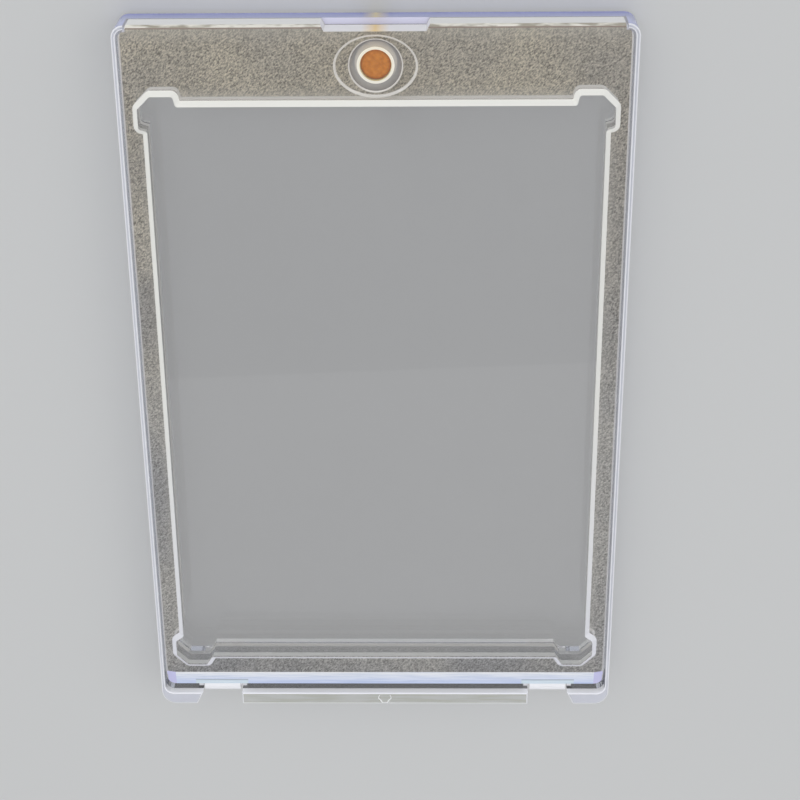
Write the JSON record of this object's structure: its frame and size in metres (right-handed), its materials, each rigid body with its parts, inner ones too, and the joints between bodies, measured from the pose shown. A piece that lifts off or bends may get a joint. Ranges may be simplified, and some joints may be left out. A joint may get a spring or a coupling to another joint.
{
  "type": "magnetic card holder",
  "caption": "Clear hinged holder for a trading card, with a raised lobed window, a frosted border and a disc-magnet closure.",
  "frame": {"origin": "middle of the back face that the holder lies on", "axes": "+X across the holder, +Y from the hinge end to the magnet end, +Z out of the front window"},
  "size_m": [0.075, 0.116, 0.0079],
  "materials": {
    "base_clear": "clear moulded plastic, polished window, lightly frosted border",
    "cover_clear": "clear moulded plastic, polished window and bevel, fine frosted grain on the border",
    "gold_plate": "satin gold-coloured plating on a disc magnet",
    "plug_clear": "clear moulded plastic, satin"
  },
  "bodies": {
    "base": {"base_shell": "base_clear", "base_magnet": "gold_plate", "base_magnet_plug": "plug_clear"},
    "cover": {"front_cover": "cover_clear", "cover_magnet": "gold_plate", "cover_magnet_plug": "plug_clear"}
  },
  "joints": [
    {"name": "cover_hinge", "type": "hinge", "parent": "base", "child": "cover", "pos_m": [0, -0.0547, 0.0049], "axis": [1, 0, 0], "range_deg": [0, 50]}
  ]
}
